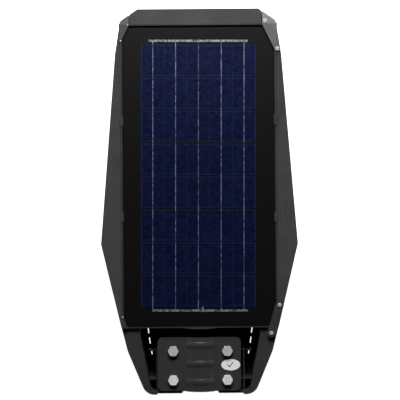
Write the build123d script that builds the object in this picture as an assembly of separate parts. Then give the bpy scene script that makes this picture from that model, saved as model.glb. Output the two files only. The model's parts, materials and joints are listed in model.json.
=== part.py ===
"""Solar street lamp head: one STEP file for each sub-part.

Frame, in millimetres: the origin is the centre of the pole clamp's bore, +Y runs along the
lamp to its front end and +Z points at the sky. The pole leaves towards -Y.
"""
import math
import os

from build123d import *

# ---------------------------------------------------------------- fits shared by many parts
seam = 0.3                  # gap left at a seam between two mouldings
open_seam = 0.8             # wider gap between the faceted mouldings, where they meet end to end
wall = 2.5                  # moulded wall
screw_clear = 0.15          # radial room of a screw in its hole

# ---------------------------------------------------------------- solar panel
panel_w = 207.0
panel_l = 410.0
panel_rear_y = 52.0         # rear edge of the glass, from the pole clamp's centre
panel_top_z = 28.6
glass_t = 3.2
backsheet_t = 0.5
cell_size = (156.75, 42.6)
cell_pitch = 44.9
cell_t = 0.2
cell_count = 8
string_centre = (-0.7, 257.4)
string_skew_deg = -0.44     # the string lies slightly turned under the glass
ribbon_w = 1.1
ribbon_t = 0.2
ribbon_pitch = 31.1
ribbon_count = 5
bus_w = 3.0
bus_overhang = 5.4          # the bus runs past the outer ribbons by this much
bus_gap = 4.0               # end cell to the bus

# ---------------------------------------------------------------- tray that holds the panel
panel_gap = 0.4             # glass to rim, all round
rim_side_t = 2.3
rim_end_t = 1.4
ledge_w = 14.0
ledge_t = 2.5
gasket_t = 1.5
gasket_w = 8.0
lip_bulge = 2.0             # the rear lip bows out this far in its middle
lip_bulge_half = 25.0
carrier_bar_w = 12.0
carrier_bars_y = (150.0, 257.0, 364.0)

glass_low_z = panel_top_z - glass_t
cell_low_z = glass_low_z - ribbon_t - cell_t
backsheet_low_z = cell_low_z - backsheet_t
ledge_top_z = backsheet_low_z - gasket_t
ledge_low_z = ledge_top_z - ledge_t
rim_half = panel_w / 2 + panel_gap + rim_side_t
rim_rear_y = panel_rear_y - panel_gap - rim_end_t
rim_front_y = panel_rear_y + panel_l + panel_gap + rim_end_t
panel_y = panel_rear_y + panel_l / 2

# ---------------------------------------------------------------- outline of the housing
side_flare = 29.4           # widest point, beyond the tray's rim
widest_y = 163.7
front_kink = (rim_half + 7.3, rim_front_y - 39.8)
shoulder = (rim_half - 0.2, rim_front_y + 5.2)
front_corner = (rim_half - 23.2, rim_front_y + 23.1)
rear_kink = (rim_half - 7.3, 18.1)
rear_half = 74.1
rear_y = -41.2
rear_corner_r = 17.0
rear_kink_r = 25.0
shoulder_r = 6.0
front_corner_r = 3.0
facet_drop = 0.75           # fall of the facets, mm for each mm outwards

# ---------------------------------------------------------------- pole clamp
pole_d = 48.0
clamp_clear = 0.1
bore_r = pole_d / 2 + clamp_clear
saddle_wall = 3.0
saddle_clear = 0.1          # room between the saddle and the bosses beside it
seat_t = 3.4                # saddle under the pole
saddle_top_z = 12.0
boss_r = 9.6
plate_t = 2.5
plate_l = 73.2
plate_corner_r = 7.0
plate_shift_x = -1.4        # the plate sits this far to the left of its bolts' middle
plate_edge = 19.9           # bolt centre to the plate's long edge, on average
flange_drop = 6.9           # flange underside below the bore's top
hump_r = bore_r + plate_t
hump_overrun = 1.1          # the half tube runs past the plate's rear edge
ring_h = 1.2
ring_w = 10.0               # swelling of each ring along the tube
rings_y = (26.0, 0.5, -24.5)
bolts_y = (-21.8, 17.8)     # the bolts sit nearer to the plate's rear edge
bolt_r = 4.0
bolt_l = 45.0
bolt_hole_r = 4.5
head_af = 13.0
head_h = 5.3
nut_h = 6.5
nut_clear = 0.1
nut_top_z = -10.0
sticker_centre = (41.5, -1.4)
sticker_half = (13.0, 7.75)
sticker_t = 0.15

bolt_x = bore_r + saddle_wall + seam + boss_r
flange_z = bore_r - flange_drop
plate_half = bolt_x + plate_edge
plate_top_z = flange_z + plate_t

# ---------------------------------------------------------------- lower housing
split_z = 4.0               # seam between the lower housing and the rails
draft_deg = 6.0
floor_t = 2.5
recess = 4.0                # underside is sunk this far inside its rim
foot_w = 5.0
deck_drop = 4.6             # rear deck below the panel's top
deck_t = 2.5
bay_front_y = 62.0
bay_front_half = 86.0
bay_rear_half = 67.0
bay_corner_r = 10.0
rear_wall_t = 3.0
rear_wall_top_z = 10.0
rear_post_w = 8.0           # deck left standing beside the low rear wall, inside the bay
rear_solid = 14.0           # solid end of the deck, behind the hollow part
notch_clear = 1.1
drain_w = 1.5
drains = ((72.3, 42.0, 8.4), (70.5, 28.0, 9.0), (69.9, 17.4, 2.6), (67.7, 11.0, 5.0))
drain_turn_deg = 8.0
rib_t = 1.8
rib_out_gap = 3.0           # long ribs stand this far outside the clamp plate
rib_drop = 3.0              # ribs between the bosses end this far below the saddle's top
low_rib_z = -14.0           # top of the two ribs ahead of the saddle
stop_t = 3.0                # end stop of the saddle

floor_top_z = -(bore_r + seat_t)
floor_low_z = floor_top_z - floor_t
base_z = floor_low_z - recess
deck_z = panel_top_z - deck_drop
deck_front_y = rim_rear_y - seam
bay_rear_y = rear_y + rear_wall_t

# ---------------------------------------------------------------- rails, cap and corners
rail_skin = 2.5
rail_flange_drop = 14.0     # inner flange hangs this far below the panel's top
full_flange_y = 95.0        # behind this the flange reaches down to the seam
tab_size = (5.0, 13.6, 1.0)
tabs_y = (201.0, 333.0)
tab_reach = 3.6             # tab laps over the rim and the glass, inside the rail's edge
rail_screws_y = (120.0, 200.0, 280.0, 350.0)
rail_screw_in = 3.1         # screw centre outside the rail's inner edge
post_r = 4.5
screw_r = 1.6
screw_head_r = 3.0
screw_head_h = 2.0
flat_head_h = 1.6
screw_counterbore = 6.0
carrier_posts_y = (95.0, 205.0, 310.0, 415.0)
carrier_post_r = 5.0
plate_lift = 1.0            # corner plates stand this far above the glass
# each corner plate: where its inner edge meets the end of the panel and the side of it,
# as distances from the rim's corner (across, along)
cut_front_left = (11.9, 24.0)
cut_front_right = (18.3, 37.0)
cut_rear_left = (8.0, 17.5)
bracket_from = (rim_half - 9.2, rim_rear_y - 7.9)
bracket_to = (rim_half + 2.4, rim_rear_y + 30.4)
bracket_half_w = 5.6
corner_screw_r = 2.7
corner_screw_h = 1.5
corner_screw_l = 6.0
rivet_r = 0.5
rivet_head_r = 1.1
rivet_l = 4.0

rail_inner = rim_half + seam

# ---------------------------------------------------------------- lamp underside
lens_y = 312.0
lens_size = (166.0, 242.0)
lens_t = 2.5
lens_corner_r = 8.0
lens_gasket_t = 0.8
lens_gasket_w = 6.0
window_inset = 17.0         # lens edge to the window's edge
led_pitch = 19.0
led_margin = 9.0            # window edge to the centres of the outer LEDs, at least
led_size = (3.5, 2.8, 0.8)
led_board_lap = 6.0         # board laps the floor round the window
led_board_t = 1.6
tray_hole_r = 4.5
tray_clear = 0.3
tray_t = 1.0
tray_depth = 2.0
lens_screw_inset = 4.5
lens_screw_l = 9.0
lens_head = (2.6, 1.3)      # head radius and height of the lens screws
lens_head_sink = 1.4        # depth of the seat in the lens
lens_boss_r = 3.5
lens_boss_h = 8.0
board_head = (2.8, 1.6)     # head radius and height of the screws inside the housing
floor_hole = 1.8            # blind holes in the floor
pir_xy = (0.0, 92.0)
pir_r = 11.5
pir_flange_r = 14.5
pir_flange_t = 1.5
well_r = 17.0
well_depth = 8.0
switch_xy = (-48.0, 92.0)
bushing_r = 6.0
bezel_r = 9.0
bezel_t = 1.5
button_r = 4.0
button_clear = 0.1
button_l = 6.6
button_out = 2.0            # button stands this far out of its bezel
button_travel = 1.5
indicator_xy = (42.0, 92.0)
indicator_r = 2.5
vent_xy = (66.0, 92.0)
vent_r = 4.0

window_size = (lens_size[0] - 2 * window_inset, lens_size[1] - 2 * window_inset)
led_grid = [int((side - 2 * led_margin) / led_pitch + 1e-6) + 1 for side in window_size]
lens_top_z = floor_low_z - lens_gasket_t
led_face_z = floor_top_z

# ---------------------------------------------------------------- inside
battery_d = 32.2
battery_l = 70.5
battery_y = 150.0
battery_clear = 0.15
cradle_h = 14.0
cradle_base = 2.0
cradle_wall = 2.5
ear_r = 4.0
ear_t = 2.0
strap_t = 1.0
strap_w = 12.0
strap_x = 36.0
board_size = (116.0, 36.0, 1.6)
board_y = 92.0
board_standoff = 23.5       # board's underside above the floor
board_z = floor_top_z + board_standoff
board_post_r = 3.5
junction_size = (62.0, 30.0, 8.0)
junction_y = 90.0
lead_r = 1.0
lead_bend_r = 6.0


# ---------------------------------------------------------------- helpers
def mirrored(right_half):
    """A closed outline from its right half, given front to rear."""
    left_half = [(-x, y) for x, y in reversed(right_half)]
    return right_half + left_half


def face_on(points, radii):
    """Flat face on a closed outline whose corners have the given radii."""
    return make_face(FilletPolyline(*points, radius=radii, close=True).edges())


def upright(face, low_z, high_z):
    """Upright solid on a flat face drawn at height 0."""
    return Pos(0, 0, low_z) * extrude(face, amount=high_z - low_z, dir=(0, 0, 1))


def block(x_span, y_span, z_span):
    """Box between two X, two Y and two Z values."""
    size = [span[1] - span[0] for span in (x_span, y_span, z_span)]
    middle = [(span[0] + span[1]) / 2 for span in (x_span, y_span, z_span)]
    return Pos(*middle) * Box(*size)


def rod(xy, low_z, high_z, radius):
    """Upright cylinder."""
    return Pos(xy[0], xy[1], (low_z + high_z) / 2) * Cylinder(radius, high_z - low_z)


def rod_along_y(y_span, radius, x=0.0, z=0.0):
    """Cylinder along Y."""
    turned = Rot(90, 0, 0) * Cylinder(radius, y_span[1] - y_span[0])
    return Pos(x, (y_span[0] + y_span[1]) / 2, z) * turned


def hexagon(xy, low_z, high_z, across_flats):
    """Upright hexagonal prism with two corners on the X axis."""
    face = RegularPolygon(across_flats / 2, 6, major_radius=False)
    return Pos(xy[0], xy[1], 0) * upright(face, low_z, high_z)


def rounded_plate(centre, size, radius, low_z, high_z):
    """Upright plate with rounded corners."""
    return Pos(centre[0], centre[1], 0) * upright(RectangleRounded(*size, radius), low_z, high_z)


def group(solids):
    """Several separate solids in one node."""
    return Compound(children=list(solids))


def sides(points):
    """The same places on both sides of the lamp."""
    return [(side * x, y) for side in (-1, 1) for x, y in points]


# ---------------------------------------------------------------- outlines
def belt_points():
    """Corner points of the housing's outline, clockwise from the front right."""
    right = [
        front_corner,
        shoulder,
        front_kink,
        (rim_half + side_flare, widest_y),
        rear_kink,
        (rear_half, rear_y),
    ]
    return mirrored(right)


def belt_face(inset=0.0):
    """The housing's outline, or the same outline moved inwards."""
    right_radii = [front_corner_r, shoulder_r, 8.0, 4.0, rear_kink_r, rear_corner_r]
    face = face_on(belt_points(), right_radii + right_radii[::-1])
    if inset:
        face = offset(face, amount=-inset)
    return face


def bay_face(outset=0.0):
    """Outline of the open bay that holds the pole clamp."""
    points = mirrored([(bay_front_half, bay_front_y), (bay_rear_half, bay_rear_y)])
    radii = [3.0, bay_corner_r, bay_corner_r, 3.0]
    face = face_on(points, radii)
    if outset:
        face = offset(face, amount=outset)
    return face


def roof(lift=0.0):
    """Everything under the faceted top: flat over the panel, falling to the sides and front."""
    far_x = 200.0
    near_y = -100.0
    far_y = rim_front_y + 100.0
    low = -200.0
    top = panel_top_z + lift
    cap_y = rim_front_y + seam
    side_low = top - facet_drop * (far_x - rail_inner)
    side_points = [(-far_x, low), (far_x, low), (far_x, side_low)]
    side_points += [(rail_inner, top), (-rail_inner, top), (-far_x, side_low)]
    across = extrude(Plane.XZ * Polygon(*side_points, align=None), amount=far_y - near_y, dir=(0, 1, 0))
    across = Pos(0, near_y, 0) * across
    front_low = top - facet_drop * (far_y - cap_y)
    front_points = [(near_y, low), (far_y, low), (far_y, front_low), (cap_y, top), (near_y, top)]
    along = extrude(Plane.YZ * Polygon(*front_points, align=None), amount=2 * far_x, dir=(1, 0, 0))
    return across & (Pos(-far_x, 0, 0) * along)


# ---------------------------------------------------------------- lower housing
def drafted(face, low_z):
    """Solid from the split seam down to low_z, narrowing by the moulding draft."""
    down = extrude(face, amount=split_z - low_z, dir=(0, 0, -1), taper=draft_deg)
    return Pos(0, 0, split_z) * down


def bay_ribs():
    """Ribs on the bay's floor, beside and between the clamp's bosses."""
    long_x = plate_half + rib_out_gap
    whole_bay = (bay_rear_y, bay_front_y)
    ahead_of_stop = (plate_l / 2 + stop_t, bay_front_y)
    solids = []
    for side in (-1, 1):
        x = side * long_x
        solids.append(block((x - rib_t / 2, x + rib_t / 2), whole_bay, (floor_top_z, split_z)))
        x = side * bolt_x
        high = saddle_top_z - rib_drop
        solids.append(block((x - rib_t / 2, x + rib_t / 2), whole_bay, (floor_top_z, high)))
        x = side * bore_r / 2
        solids.append(block((x - rib_t / 2, x + rib_t / 2), ahead_of_stop, (floor_top_z, low_rib_z)))
        for y in bolts_y:
            near = bolt_x * side
            far = (bay_rear_half + 4) * side
            x_span = (min(near, far), max(near, far))
            solids.append(block(x_span, (y - rib_t / 2, y + rib_t / 2), (floor_top_z, split_z)))
    return solids


def drain_slots():
    """Narrow slots that let rain out of the bay, beside its side walls."""
    solids = []
    for side in (-1, 1):
        for x, y, length in drains:
            face = SlotOverall(length, drain_w)
            solid = upright(face, floor_low_z - 1, floor_top_z + 1)
            solids.append(Pos(side * x, y, 0) * Rot(0, 0, 90 - side * drain_turn_deg) * solid)
    return solids


def bolt_places():
    """Centres of the four clamp bolts."""
    return [(x, y) for x in (-bolt_x, bolt_x) for y in bolts_y]


def rail_screw_places():
    """Centres of the screws that hold the rails."""
    return sides([(rail_inner + rail_screw_in, y) for y in rail_screws_y])


def carrier_post_places():
    """Centres of the posts that the panel tray is screwed to."""
    x = rim_half - rim_side_t - ledge_w / 2
    return sides([(x, y) for y in carrier_posts_y])


def lens_screw_places():
    """Centres of the screws round the lens."""
    half_x = lens_size[0] / 2 - lens_screw_inset
    half_y = lens_size[1] / 2 - lens_screw_inset
    corners = [(x, lens_y + y) for x in (-half_x, half_x) for y in (-half_y, 0, half_y)]
    return corners + [(0, lens_y - half_y), (0, lens_y + half_y)]


def led_board_screw_places():
    """Centres of the screws that hold the LED board down on the floor."""
    half_x = window_size[0] / 2 + led_board_lap / 2
    half_y = window_size[1] / 2 + led_board_lap / 2
    return [(x, lens_y + y) for x in (-half_x, half_x) for y in (-half_y, 0, half_y)]


def battery_screw_places():
    """Centres of the screws through the cradle's ears."""
    x = battery_l + 2 * battery_clear + cradle_wall + ear_r + 0.5
    return [(side * x, battery_y + dy) for side in (-1, 1) for dy in (-20, 20)]


def board_screw_places():
    """Centres of the controller board's screws."""
    half_x = board_size[0] / 2 - 4
    half_y = board_size[1] / 2 - 4
    return [(x, board_y + y) for x in (-half_x, half_x) for y in (-half_y, half_y)]


def housing_shell():
    """Drafted tub with the flat rear wall and the raised deck round the bay."""
    shell = drafted(belt_face(), base_z)
    rear_slab = upright(belt_face(), base_z, rear_wall_top_z)
    rear_slab = rear_slab & block((-200, 200), (rear_y - 1, bay_rear_y + 2), (base_z, rear_wall_top_z))
    deck = upright(belt_face(), split_z, deck_z)
    deck = deck & block((-200, 200), (rear_y - 1, deck_front_y), (split_z, deck_z))
    shell = shell + rear_slab + deck
    inside = drafted(belt_face(wall), floor_top_z)
    inside = inside + upright(belt_face(wall), split_z, deck_z - deck_t)
    bay_core = upright(bay_face(wall), base_z, deck_z)
    deck_room = block((-200, 200), (rear_y + rear_solid, deck_front_y - wall), (floor_top_z, deck_z - deck_t))
    room = inside & deck_room
    room = room + (inside & block((-200, 200), (deck_front_y - wall - 1, 600), (floor_top_z, split_z)))
    shell = shell - (room - bay_core)
    neck = upright(bay_face(wall), split_z, ledge_low_z)
    neck = neck & block((-200, 200), (deck_front_y - wall, 200), (split_z, ledge_low_z))
    shell = shell + neck
    shell = shell - upright(bay_face(), floor_top_z, deck_z + 1)
    gap_x = (-bay_rear_half + rear_post_w, bay_rear_half - rear_post_w)
    rear_gap = block(gap_x, (rear_y - 1, bay_rear_y + 1), (rear_wall_top_z, deck_z + 1))
    return shell - rear_gap


def lower_housing():
    """Tub moulding: drafted sides, sunk underside, clamp bay, posts and bosses."""
    body = housing_shell()
    foot = belt_face(foot_w + (split_z - base_z) * math.tan(math.radians(draft_deg)))
    sunk = upright(foot, base_z - 1, floor_low_z)
    body = body - (sunk & block((-200, 200), (bay_rear_y + 2, 600), (base_z - 1, floor_low_z)))
    adds = bay_ribs()
    adds += [rod(place, floor_low_z, saddle_top_z, boss_r) for place in bolt_places()]
    adds += [rod(place, floor_top_z, split_z, post_r) for place in rail_screw_places()]
    adds += [rod(place, floor_top_z, ledge_low_z, carrier_post_r) for place in carrier_post_places()]
    adds += [rod(place, floor_top_z, floor_top_z + lens_boss_h, lens_boss_r) for place in lens_screw_places()]
    adds += [rod(place, floor_top_z, board_z, board_post_r) for place in board_screw_places()]
    adds.append(rod(pir_xy, floor_low_z, floor_low_z + well_depth + floor_t, well_r + 2))
    body = body + adds
    way_half = bore_r + saddle_wall + saddle_clear
    way_y = (bay_rear_y, plate_l / 2 + stop_t + 4)
    pole_way = rod_along_y(way_y, way_half) + block((-way_half, way_half), way_y, (0, deck_z))
    inner_way = pole_way & block((-60, 60), way_y, (floor_top_z, deck_z))
    notch = rod_along_y((rear_y - 1, bay_rear_y + 1), bore_r + notch_clear)
    notch = notch + block(
        (-bore_r - notch_clear, bore_r + notch_clear), (rear_y - 1, bay_rear_y + 1), (0, deck_z)
    )
    cuts = drain_slots() + [inner_way, notch]
    for place in bolt_places():
        cuts.append(rod(place, base_z, saddle_top_z + 1, bolt_hole_r))
        cuts.append(hexagon(place, base_z, nut_top_z, head_af + 2 * nut_clear))
    for place in rail_screw_places():
        cuts.append(rod(place, base_z, split_z, screw_r + screw_clear))
        cuts.append(rod(place, base_z, floor_low_z + screw_counterbore, screw_head_r + screw_clear))
    for place in carrier_post_places():
        cuts.append(rod(place, ledge_low_z - 10, ledge_low_z, screw_r + screw_clear))
    for place in lens_screw_places():
        cuts.append(rod(place, floor_low_z, floor_low_z + lens_screw_l, screw_r + screw_clear))
    for place in led_board_screw_places():
        cuts.append(rod(place, floor_top_z - floor_hole, floor_top_z, screw_r + screw_clear))
    for place in board_screw_places():
        cuts.append(rod(place, board_z - 8, board_z, screw_r + screw_clear))
    for place in battery_screw_places():
        cuts.append(rod(place, floor_top_z - floor_hole, floor_top_z, screw_r + screw_clear))
    cuts.append(rod(pir_xy, floor_low_z - 1, floor_low_z + well_depth, well_r))
    cuts.append(rod(pir_xy, floor_low_z, floor_low_z + well_depth + floor_t, 3.0))
    cuts.append(rod(switch_xy, floor_low_z, floor_top_z, bushing_r + screw_clear))
    cuts.append(rod(indicator_xy, floor_low_z, floor_top_z, indicator_r + screw_clear))
    cuts.append(rod(vent_xy, floor_low_z, floor_top_z, vent_r + screw_clear))
    cuts.append(rounded_plate((0, lens_y), window_size, 4.0, floor_low_z - 1, floor_top_z + 1))
    return body - cuts - corner_screw_cuts()


# ---------------------------------------------------------------- rails, cap and corners
def facet_shell(region, lift=0.0):
    """Hollow moulding under the faceted top, over the part of the outline inside a region."""
    outer = upright(region, split_z, panel_top_z + lift) & upright(belt_face(), split_z, panel_top_z + lift)
    outer = outer & roof(lift)
    hollow_top = panel_top_z + lift - rail_skin
    hollow = upright(offset(region, amount=-wall), split_z, hollow_top)
    hollow = hollow & upright(belt_face(wall), split_z, hollow_top)
    return outer - (hollow & roof(lift - rail_skin))


def box_face(x_span, y_span):
    """Rectangular region of the outline."""
    corners = [(x_span[0], y_span[0]), (x_span[1], y_span[0]), (x_span[1], y_span[1]), (x_span[0], y_span[1])]
    return Polygon(*corners, align=None)


def side_rail(side):
    """Long faceted rail of one side, with its inner flange, screw posts and two snap tabs."""
    cut = cut_front_left if side < 0 else cut_front_right
    front_y = rim_front_y - cut[1] - open_seam
    x_span = sorted((side * rail_inner, side * 200.0))
    region = box_face(x_span, (rim_rear_y, front_y))
    rail = facet_shell(region)
    low_z = panel_top_z - rail_flange_drop
    flange_x = sorted((side * (rail_inner - 1), side * (rail_inner + wall)))
    under = block(flange_x, (full_flange_y, front_y + 1), (0, low_z))
    rail = rail - under
    places = [place for place in rail_screw_places() if place[0] * side > 0]
    posts = [rod(place, split_z, panel_top_z, post_r) & roof(-1.0) for place in places]
    posts = [post & block(x_span, (0, 600), (0, 40)) for post in posts]
    rail = rail + posts
    rail = rail - [rod(place, split_z, split_z + 12, screw_r + screw_clear) for place in places]
    reach = rail_inner - tab_reach - seam
    for y in tabs_y:
        tab_x = sorted((side * reach, side * (reach + tab_size[0])))
        tab_y = (y - tab_size[1] / 2, y + tab_size[1] / 2)
        rail = rail + block(tab_x, tab_y, (panel_top_z, panel_top_z + tab_size[2]))
        root_x = sorted((side * rail_inner, side * (reach + tab_size[0])))
        rail = rail + block(root_x, tab_y, (panel_top_z - wall, panel_top_z + tab_size[2]))
    return rail - corner_screw_cuts() if side > 0 else rail


def front_cap():
    """Sloping strip across the front end, between the two corner pieces."""
    left = -(rim_half - cut_front_left[0]) + open_seam
    right = rim_half - cut_front_right[0] - open_seam
    return facet_shell(box_face((left, right), (rim_front_y + seam, 600.0)))


def front_corner_piece(side, cut):
    """Corner moulding: a faceted shell outside the rim and a thin plate that laps the glass."""
    end_x = side * (rim_half - cut[0])
    side_y = rim_front_y - cut[1]
    outside = [
        (end_x, rim_front_y + seam), (end_x, 600.0), (side * 200.0, 600.0),
        (side * 200.0, side_y), (side * rail_inner, side_y), (side * rail_inner, rim_front_y + seam),
    ]
    shell = facet_shell(Polygon(*outside, align=None), plate_lift)
    lap = [(end_x, rim_front_y + 5), (end_x, rim_front_y - rim_end_t), (side * (rim_half - 1), side_y)]
    lap += [(side * (rim_half + 3), side_y), (side * (rim_half + 3), rim_front_y + 5)]
    plate = upright(Polygon(*lap, align=None), panel_top_z, panel_top_z + plate_lift)
    piece = shell + (plate & roof(plate_lift))
    return piece - (corner_screw_cuts() if side > 0 else rivet_cuts())


def corner_rear_left():
    """Small corner plate that laps the rear left corner of the glass."""
    across, along = cut_rear_left
    points = [
        (-rim_half, rim_rear_y), (-(rim_half - across), rim_rear_y),
        (-(rim_half - 1), rim_rear_y + along), (-rim_half, rim_rear_y + along),
    ]
    plate = upright(Polygon(*points, align=None), panel_top_z, panel_top_z + plate_lift)
    return plate - rivet_cuts()


def corner_rear_right():
    """Screwed bracket from the rail over the panel's corner down to the rear deck."""
    run = (bracket_to[0] - bracket_from[0], bracket_to[1] - bracket_from[1])
    length = math.hypot(*run)
    middle = ((bracket_from[0] + bracket_to[0]) / 2, (bracket_from[1] + bracket_to[1]) / 2)
    turn = math.degrees(math.atan2(run[1], run[0]))
    strip = SlotCenterToCenter(length, 2 * bracket_half_w)
    strip = Pos(middle[0], middle[1], 0) * Rot(0, 0, turn) * strip
    solid = upright(strip, split_z, panel_top_z + plate_lift)
    over_panel = block((0, 200), (deck_front_y, 600), (0, 60))
    solid = solid - (roof() & over_panel)
    solid = solid - block((0, 200), (0, deck_front_y + 0.01), (0, deck_z))
    return solid - corner_screw_cuts()


def corner_screw_seats():
    """Centre and seat height of the corner screws: two at the front, two in the rear bracket."""
    high = panel_top_z + plate_lift
    seats = []
    for across, along in ((-14.6, 4.0), (1.8, -34.0)):
        fall = facet_drop * (max(across, along) - seam)
        seats.append(((rim_half + across, rim_front_y + along), high - fall))
    return seats + [(bracket_from, high), (bracket_to, high)]


def corner_screw_cuts():
    """Holes for the corner screws, each with a flat seat sunk into a sloping face."""
    solids = []
    for place, seat in corner_screw_seats():
        solids.append(rod(place, seat - corner_screw_l, seat, screw_r + screw_clear))
        solids.append(rod(place, seat, seat + 6, corner_screw_r + screw_clear))
    return solids


def corner_screws():
    """Pan-head screws with a cross recess."""
    sizes = (corner_screw_r, corner_screw_h, corner_screw_l, 1)
    return group([pan_screw(place, seat, *sizes) for place, seat in corner_screw_seats()])


def rivet_places():
    """Centres of the small rivets through the left-hand corner plates into the tray's rim."""
    side_x = rim_half - rim_side_t / 2
    front = [(-(rim_half - 10.4), rim_front_y - rim_end_t / 2), (-side_x, rim_front_y - 22.3)]
    return front + [(-side_x, rim_rear_y + 15.4)]


def rivet_cuts():
    """Holes for the rivets."""
    high = panel_top_z + plate_lift
    return [rod(place, high - rivet_l, high, rivet_r + 0.1) for place in rivet_places()]


def corner_rivets():
    """Small steel rivets with low heads."""
    high = panel_top_z + plate_lift
    solids = []
    for place in rivet_places():
        head = rod(place, high, high + 0.5, rivet_head_r)
        head = fillet(head.edges().group_by(Axis.Z)[-1], 0.3)
        solids.append(head + rod(place, high - rivet_l, high, rivet_r))
    return group(solids)


def pan_screw(place, seat_z, head_r, head_h_mm, length, up):
    """Pan-head screw: its head on a seat and its shank on the other side; up is 1 or -1."""
    head = Cylinder(head_r, head_h_mm)
    top_edge = head.edges().group_by(Axis.Z)[-1]
    head = fillet(top_edge, head_h_mm * 0.45)
    slot_depth = head_h_mm * 0.5
    for turn in (0, 90):
        bar = Rot(0, 0, turn) * Box(head_r * 1.1, head_r * 0.22, slot_depth)
        head = head - Pos(0, 0, head_h_mm / 2 - slot_depth / 2) * bar
    screw = Pos(0, 0, head_h_mm / 2) * head + Pos(0, 0, -length / 2) * Cylinder(screw_r, length)
    if up < 0:
        screw = Rot(180, 0, 0) * screw
    return Pos(place[0], place[1], seat_z) * screw


# ---------------------------------------------------------------- panel
def panel_carrier():
    """Tray under the panel: rim, ledge, three cross bars and the bowed rear lip."""
    outer = block((-rim_half, rim_half), (rim_rear_y, rim_front_y), (ledge_low_z, panel_top_z))
    side_in = rim_half - rim_side_t
    end_in = rim_end_t
    pocket_y = (rim_rear_y + end_in, rim_front_y - end_in)
    pocket = block((-side_in, side_in), pocket_y, (ledge_top_z, panel_top_z + 1))
    hole_x = side_in - ledge_w
    hole_y = (rim_rear_y + end_in + ledge_w, rim_front_y - end_in - ledge_w)
    hole = block((-hole_x, hole_x), hole_y, (ledge_low_z - 1, ledge_top_z + 1))
    tray = outer - pocket - hole
    for y in carrier_bars_y:
        bar_y = (y - carrier_bar_w / 2, y + carrier_bar_w / 2)
        tray = tray + block((-hole_x - 1, hole_x + 1), bar_y, (ledge_low_z, ledge_top_z))
        rib_y = (y - rib_t / 2, y + rib_t / 2)
        tray = tray + block((-hole_x + 4, hole_x - 4), rib_y, (ledge_top_z, backsheet_low_z))
    bow_r = (lip_bulge_half ** 2 + lip_bulge ** 2) / (2 * lip_bulge)
    bow = rod((0, rim_rear_y - lip_bulge + bow_r), ledge_low_z, panel_top_z, bow_r)
    bow = bow & block((-lip_bulge_half, lip_bulge_half), (rim_rear_y - 5, rim_rear_y + 0.5), (0, 60))
    tray = tray + bow
    cuts = []
    for place in carrier_post_places():
        cuts.append(rod(place, ledge_low_z, ledge_top_z, screw_r + screw_clear))
        cuts.append(rod(place, ledge_top_z - flat_head_h, ledge_top_z, screw_head_r + screw_clear))
    return tray - cuts - rivet_cuts() - corner_screw_cuts()


def carrier_screws():
    """Flat-head screws that hold the tray on its posts, sunk in its ledge."""
    solids = []
    for place in carrier_post_places():
        head = rod(place, ledge_top_z - flat_head_h, ledge_top_z - 0.1, screw_head_r)
        solids.append(head + rod(place, ledge_low_z - 9, ledge_top_z - flat_head_h, screw_r))
    return group(solids)


def panel_span(inset=0.0):
    """X and Y spans of the panel, moved inwards by an inset."""
    x_span = (-panel_w / 2 + inset, panel_w / 2 - inset)
    return x_span, (panel_rear_y + inset, panel_rear_y + panel_l - inset)


def panel_layer(low_z, high_z):
    """One full-size layer of the laminate."""
    x_span, y_span = panel_span()
    return block(x_span, y_span, (low_z, high_z))


def panel_gasket():
    """Foam tape between the ledge and the panel's back."""
    outer_x, outer_y = panel_span()
    inner_x, inner_y = panel_span(gasket_w)
    z_span = (ledge_top_z, backsheet_low_z)
    return block(outer_x, outer_y, z_span) - block(inner_x, inner_y, z_span)


def panel_glass():
    """Tempered cover glass with ground edges."""
    glass = panel_layer(glass_low_z, panel_top_z)
    return chamfer(glass.edges().group_by(Axis.Z)[-1], 0.4)


def on_string(solid):
    """Place a solid that was drawn about the cell string's own centre."""
    return Pos(string_centre[0], string_centre[1], 0) * Rot(0, 0, string_skew_deg) * solid


def solar_cells():
    """The string of strip cells."""
    solids = []
    for index in range(cell_count):
        y = (index - (cell_count - 1) / 2) * cell_pitch
        cell = Box(cell_size[0], cell_size[1], cell_t)
        solids.append(on_string(Pos(0, y, cell_low_z + cell_t / 2) * cell))
    return group(solids)


def string_half():
    """Half the length of the cell string."""
    return ((cell_count - 1) * cell_pitch + cell_size[1]) / 2


def cell_ribbons():
    """Tinned ribbons along the string, on the faces of the cells."""
    bus_near = string_half() + bus_gap
    solids = []
    for index in range(ribbon_count):
        x = (index - (ribbon_count - 1) / 2) * ribbon_pitch
        ribbon = Box(ribbon_w, 2 * bus_near, ribbon_t)
        solids.append(on_string(Pos(x, 0, cell_low_z + cell_t + ribbon_t / 2) * ribbon))
    return group(solids)


def bus_ribbons():
    """The wider ribbons across both ends of the string, and the stub of the tail lead."""
    half = (ribbon_count - 1) / 2 * ribbon_pitch + bus_overhang
    middle = string_half() + bus_gap + bus_w / 2
    z = cell_low_z + cell_t + ribbon_t / 2
    front = on_string(Pos(-0.8, middle, z) * Box(2 * half, bus_w, ribbon_t))
    rear = on_string(Pos(2.2, -middle, z) * Box(2 * half - 5.0, bus_w, ribbon_t))
    stub = on_string(Pos(5.9, -middle + bus_w / 2 + 1.9, z) * Box(2.4, 3.8, ribbon_t))
    return group([front, rear + stub])


def panel_junction_box():
    """Potting box on the back of the panel, round its two tails."""
    half_x = junction_size[0] / 2
    half_y = junction_size[1] / 2
    z_span = (backsheet_low_z - junction_size[2], backsheet_low_z)
    box = block((-half_x, half_x), (junction_y - half_y, junction_y + half_y), z_span)
    return fillet(box.edges().filter_by(Axis.Z), 3.0)


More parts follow.
